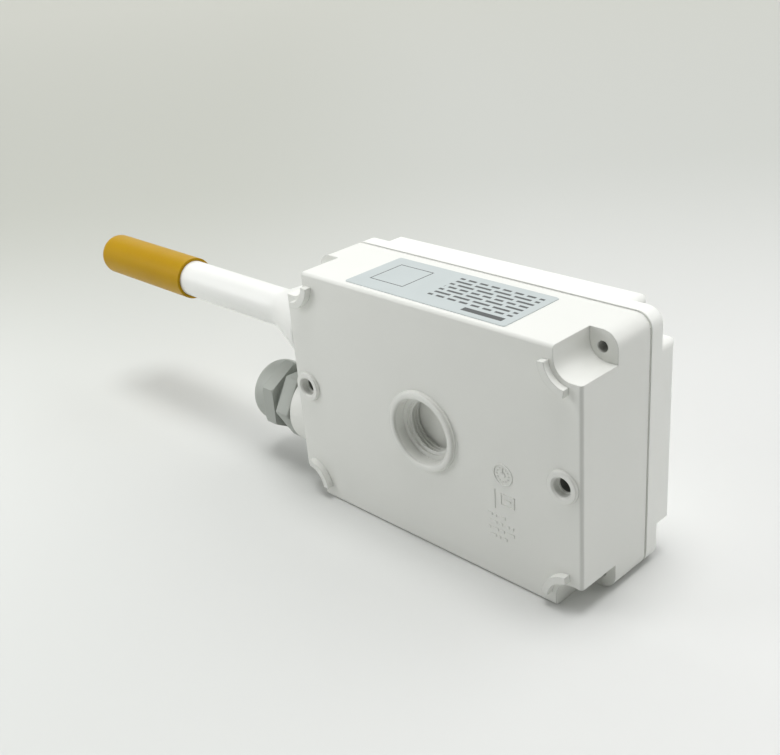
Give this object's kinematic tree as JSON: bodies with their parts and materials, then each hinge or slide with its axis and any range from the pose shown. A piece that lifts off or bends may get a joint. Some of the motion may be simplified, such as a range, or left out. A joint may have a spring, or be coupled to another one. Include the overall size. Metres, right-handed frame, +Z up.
{
  "type": "temperature and humidity sensor",
  "caption": "Wall-mount humidity and temperature transmitter: flat moulded housing with a fixed round probe, a cable gland and a rear cable entry.",
  "frame": {"origin": "centre of the rear cable entry, on the plane of the housing's back face", "axes": "+X along the housing's long side, away from the probe; +Y from the back face towards the cover; +Z up while the housing lies on a long side, as in the picture"},
  "size_m": [0.2205, 0.0404, 0.0722],
  "materials": {
    "housing_plastic": "fine satin moulded",
    "cover_plastic": "fine satin moulded",
    "gasket_rubber": "matt",
    "screw_steel": "satin",
    "seal_rubber": "matt",
    "plate_film": "satin printed film",
    "gland_plastic": "satin moulded",
    "stem_plastic": "satin moulded",
    "nut_plastic": "satin moulded",
    "wire_jacket": "smooth",
    "ring_steel": "turned",
    "board_laminate": "solder mask",
    "chip_film": "thin film",
    "ceramic": "ceramic",
    "cage_steel": "satin",
    "membrane": "porous",
    "cap_plastic": "soft satin",
    "terminal_plastic": "moulded",
    "terminal_metal": "plated",
    "connector_plastic": "moulded",
    "chip_plastic": "moulded epoxy",
    "can_sleeve": "shrink sleeve",
    "led_lens": "clear tinted"
  },
  "bodies": {
    "base": {"base_housing": "housing_plastic", "rating_plate": "plate_film", "gland_washer": "seal_rubber", "gland_body": "gland_plastic", "probe_stem": "stem_plastic", "probe_seal": "seal_rubber", "probe_locknut": "nut_plastic", "probe_wires": "wire_jacket", "stem_ring": "ring_steel", "sensor_board": "board_laminate", "humidity_chip": "chip_film", "temperature_element": "ceramic", "circuit_board": "board_laminate", "board_screws": "screw_steel", "terminal_blocks": "terminal_plastic", "terminal_screws": "terminal_metal", "wire_connector": "connector_plastic", "board_chips": "chip_plastic", "capacitors": "can_sleeve", "service_socket": "chip_plastic", "status_led": "led_lens"},
    "cover": {"cover": "cover_plastic", "cover_gasket": "gasket_rubber", "cover_screws": "screw_steel", "screw_seals": "seal_rubber"},
    "cable_seal": {"gland_seal": "seal_rubber"},
    "dome_nut": {"gland_nut": "gland_plastic"},
    "filter_core": {"filter_membrane": "membrane", "filter_seal": "seal_rubber"},
    "filter": {"filter_cage": "cage_steel"},
    "cap": {"probe_cap": "cap_plastic"}
  },
  "joints": [
    {"name": "cover_lift", "type": "slide", "parent": "base", "child": "cover", "axis": [0, 1, 0], "range_m": [0, 0.045]},
    {"name": "cable_seal_slide", "type": "slide", "parent": "base", "child": "cable_seal", "axis": [-1, 0, 0], "range_m": [0, 0.0045]},
    {"name": "dome_nut_turn", "type": "hinge", "parent": "cable_seal", "child": "dome_nut", "pos_m": [-0.0515, 0.0138, -0.016], "axis": [-1, 0, 0], "range_deg": [0, 1080]},
    {"name": "filter_advance", "type": "slide", "parent": "base", "child": "filter_core", "axis": [-1, 0, 0], "range_m": [0, 0.005]},
    {"name": "filter_turn", "type": "hinge", "parent": "filter_core", "child": "filter", "pos_m": [-0.0515, 0.0138, 0.0143], "axis": [-1, 0, 0], "range_deg": [0, 1800]},
    {"name": "cap_pull", "type": "slide", "parent": "base", "child": "cap", "axis": [-1, 0, 0], "range_m": [0, 0.06]}
  ],
  "couplings": [
    {"joint": "cable_seal_slide", "follows": "dome_nut_turn", "m_per_rad": 0.00023873},
    {"joint": "filter_advance", "follows": "filter_turn", "m_per_rad": 0.00015915}
  ]
}
